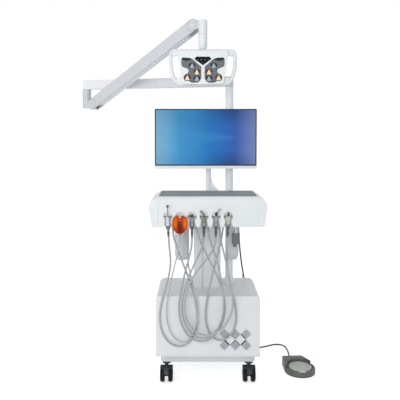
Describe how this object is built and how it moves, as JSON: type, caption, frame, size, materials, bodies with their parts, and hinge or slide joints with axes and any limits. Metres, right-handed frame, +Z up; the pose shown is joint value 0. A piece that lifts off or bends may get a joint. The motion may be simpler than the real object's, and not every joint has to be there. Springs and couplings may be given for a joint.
{
  "type": "portable dental unit",
  "caption": "Wheeled dental delivery cart with instrument tray, monitor, two-section lamp arm with LED lamp head, bottles, hoses and foot control.",
  "frame": {"origin": "on the floor, below the middle of the footprint of the whole unit with its arms, lamp and foot control", "axes": "+Z up, -Y towards the operator who faces the instruments and the screen, +X to the operator's right hand, where the foot control lies"},
  "size_m": [1.2828, 0.6102, 1.8207],
  "materials": {
    "white_shell": "satin",
    "white_metal": "satin powder coat",
    "arm_metal": "painted satin",
    "grey_metal": "satin powder coat",
    "grey_plastic": "matte",
    "lilac_plastic": "matte",
    "mat_rubber": "matte",
    "tyre": "matte",
    "clear_plastic": "translucent",
    "black_gloss": "gloss",
    "screen": "lit screen",
    "lens_warm": "clear",
    "lens_cool": "clear",
    "orange_shield": "translucent",
    "tool_steel": "satin",
    "white_gloss": "gloss",
    "hose": "satin",
    "cable": "satin",
    "pedal_plastic": "matte",
    "pedal_metal": "satin"
  },
  "bodies": {
    "cart": {"base_chassis": "grey_metal", "cabinet_shell": "white_metal", "vent_grilles": "lilac_plastic", "back_panel": "grey_metal", "mains_inlet": "grey_plastic", "compressor": "grey_metal", "column": "white_metal", "tray_body": "white_shell", "tray_mat": "mat_rubber", "tray_underside": "white_shell", "holder_rail": "white_shell", "bottle_cap": "white_shell", "suction_lid": "white_shell", "lamp_pole": "white_metal", "monitor_post": "white_metal", "pedal_base": "pedal_plastic", "hose_camera": "hose", "hose_curing": "hose", "hose_scaler": "hose", "hose_contra": "hose", "hose_turbine": "hose", "hose_syringe": "hose", "umbilical_cable": "cable", "pedal_cable": "cable"},
    "fork_front_left": {"caster_fork_front_left": "grey_metal"},
    "wheels_front_left": {"caster_wheels_front_left": "tyre"},
    "brake_front_left": {"caster_brake_front_left": "grey_plastic"},
    "fork_front_right": {"caster_fork_front_right": "grey_metal"},
    "wheels_front_right": {"caster_wheels_front_right": "tyre"},
    "brake_front_right": {"caster_brake_front_right": "grey_plastic"},
    "fork_rear_left": {"caster_fork_rear_left": "grey_metal"},
    "wheels_rear_left": {"caster_wheels_rear_left": "tyre"},
    "fork_rear_right": {"caster_fork_rear_right": "grey_metal"},
    "wheels_rear_right": {"caster_wheels_rear_right": "tyre"},
    "lamp_arm": {"lamp_arm": "arm_metal"},
    "elbow": {"elbow_post": "arm_metal"},
    "spring_arm": {"spring_arm": "arm_metal", "spring_arm_strip": "lilac_plastic"},
    "knuckle": {"knuckle": "arm_metal"},
    "lamp_stem": {"lamp_stem": "arm_metal"},
    "lamp_head": {"lamp_shell": "white_shell", "lamp_front": "white_shell", "lamp_wings": "lilac_plastic", "warm_lenses": "lens_warm", "cool_lenses": "lens_cool", "touch_panel": "black_gloss"},
    "monitor_yoke": {"monitor_yoke": "white_metal"},
    "monitor": {"monitor_back": "white_shell", "monitor_bezel": "grey_plastic", "monitor_screen": "screen"},
    "oral_camera": {"oral_camera": "white_gloss"},
    "curing_light": {"curing_light": "white_gloss", "curing_shield": "orange_shield"},
    "scaler": {"scaler": "white_gloss"},
    "contra_angle": {"contra_angle": "tool_steel"},
    "turbine": {"turbine": "tool_steel"},
    "syringe": {"syringe": "tool_steel"},
    "water_bottle": {"water_bottle": "clear_plastic"},
    "suction_jar": {"suction_jar": "clear_plastic"},
    "pedal_disc": {"pedal_disc": "pedal_metal"}
  },
  "joints": [
    {"name": "swivel_front_left", "type": "hinge", "parent": "cart", "child": "fork_front_left", "pos_m": [-0.1324, -0.1742, 0.1], "axis": [0, 0, 1], "continuous": true},
    {"name": "roll_front_left", "type": "hinge", "parent": "fork_front_left", "child": "wheels_front_left", "pos_m": [-0.1324, -0.1992, 0.0375], "axis": [1, 0, 0], "continuous": true},
    {"name": "brake_front_left", "type": "hinge", "parent": "fork_front_left", "child": "brake_front_left", "pos_m": [-0.1324, -0.23166, 0.07619], "axis": [1, 0, 0], "range_deg": [0, 12]},
    {"name": "swivel_front_right", "type": "hinge", "parent": "cart", "child": "fork_front_right", "pos_m": [0.2836, -0.1742, 0.1], "axis": [0, 0, 1], "continuous": true},
    {"name": "roll_front_right", "type": "hinge", "parent": "fork_front_right", "child": "wheels_front_right", "pos_m": [0.2836, -0.1992, 0.0375], "axis": [1, 0, 0], "continuous": true},
    {"name": "brake_front_right", "type": "hinge", "parent": "fork_front_right", "child": "brake_front_right", "pos_m": [0.2836, -0.23166, 0.07619], "axis": [1, 0, 0], "range_deg": [0, 12]},
    {"name": "swivel_rear_left", "type": "hinge", "parent": "cart", "child": "fork_rear_left", "pos_m": [-0.1324, 0.0858, 0.1], "axis": [0, 0, 1], "continuous": true},
    {"name": "roll_rear_left", "type": "hinge", "parent": "fork_rear_left", "child": "wheels_rear_left", "pos_m": [-0.1324, 0.1108, 0.0375], "axis": [1, 0, 0], "continuous": true},
    {"name": "swivel_rear_right", "type": "hinge", "parent": "cart", "child": "fork_rear_right", "pos_m": [0.2836, 0.0858, 0.1], "axis": [0, 0, 1], "continuous": true},
    {"name": "roll_rear_right", "type": "hinge", "parent": "fork_rear_right", "child": "wheels_rear_right", "pos_m": [0.2836, 0.1108, 0.0375], "axis": [1, 0, 0], "continuous": true},
    {"name": "lamp_arm_swivel", "type": "hinge", "parent": "cart", "child": "lamp_arm", "pos_m": [0.1976, 0.0658, 1.52], "axis": [0, 0, 1], "range_deg": [-160, 160]},
    {"name": "elbow_swivel", "type": "hinge", "parent": "lamp_arm", "child": "elbow", "pos_m": [-0.61743, 0.28114, 1.52], "axis": [0, 0, 1], "range_deg": [-120, 2]},
    {"name": "spring_arm_lift", "type": "hinge", "parent": "elbow", "child": "spring_arm", "pos_m": [-0.56781, 0.24742, 1.418], "axis": [-0.5621, -0.8271, 0], "range_deg": [-26, 2]},
    {"name": "knuckle_level", "type": "hinge", "parent": "spring_arm", "child": "knuckle", "pos_m": [0.00911, -0.14465, 1.78888], "axis": [-0.5621, -0.8271, 0], "range_deg": [-2, 26]},
    {"name": "head_swivel", "type": "hinge", "parent": "knuckle", "child": "lamp_stem", "pos_m": [0.05046, -0.17276, 1.76], "axis": [0, 0, 1], "range_deg": [-90, 90]},
    {"name": "head_tilt", "type": "hinge", "parent": "lamp_stem", "child": "lamp_head", "pos_m": [0.05046, -0.17276, 1.64], "axis": [1, 0, 0], "range_deg": [-10, 35]},
    {"name": "monitor_pan", "type": "hinge", "parent": "cart", "child": "monitor_yoke", "pos_m": [0.0836, 0.0628, 1.19], "axis": [0, 0, 1], "range_deg": [-40, 5]},
    {"name": "monitor_tilt", "type": "hinge", "parent": "monitor_yoke", "child": "monitor", "pos_m": [0.0836, 0.0348, 1.191], "axis": [1, 0, 0], "range_deg": [-8, 5]},
    {"name": "oral_camera_lift", "type": "slide", "parent": "cart", "child": "oral_camera", "axis": [0, -0.5, 0.866], "range_m": [0, 0.06]},
    {"name": "curing_light_lift", "type": "slide", "parent": "cart", "child": "curing_light", "axis": [0, -0.5, 0.866], "range_m": [0, 0.06]},
    {"name": "scaler_lift", "type": "slide", "parent": "cart", "child": "scaler", "axis": [0, -0.5, 0.866], "range_m": [0, 0.06]},
    {"name": "contra_angle_lift", "type": "slide", "parent": "cart", "child": "contra_angle", "axis": [0, -0.5, 0.866], "range_m": [0, 0.06]},
    {"name": "turbine_lift", "type": "slide", "parent": "cart", "child": "turbine", "axis": [0, -0.5, 0.866], "range_m": [0, 0.06]},
    {"name": "syringe_lift", "type": "slide", "parent": "cart", "child": "syringe", "axis": [0, -0.5, 0.866], "range_m": [0, 0.06]},
    {"name": "water_bottle_drop", "type": "slide", "parent": "cart", "child": "water_bottle", "axis": [0, 0, -1], "range_m": [0, 0.06]},
    {"name": "suction_jar_drop", "type": "slide", "parent": "cart", "child": "suction_jar", "axis": [0, 0, -1], "range_m": [0, 0.06]},
    {"name": "pedal_press", "type": "slide", "parent": "cart", "child": "pedal_disc", "axis": [0, 0, 1], "range_m": [-0.005, 0], "stiffness_N_per_m": 2000, "springref_m": 0.004}
  ],
  "couplings": [
    {"joint": "knuckle_level", "follows": "spring_arm_lift", "ratio": -1}
  ]
}
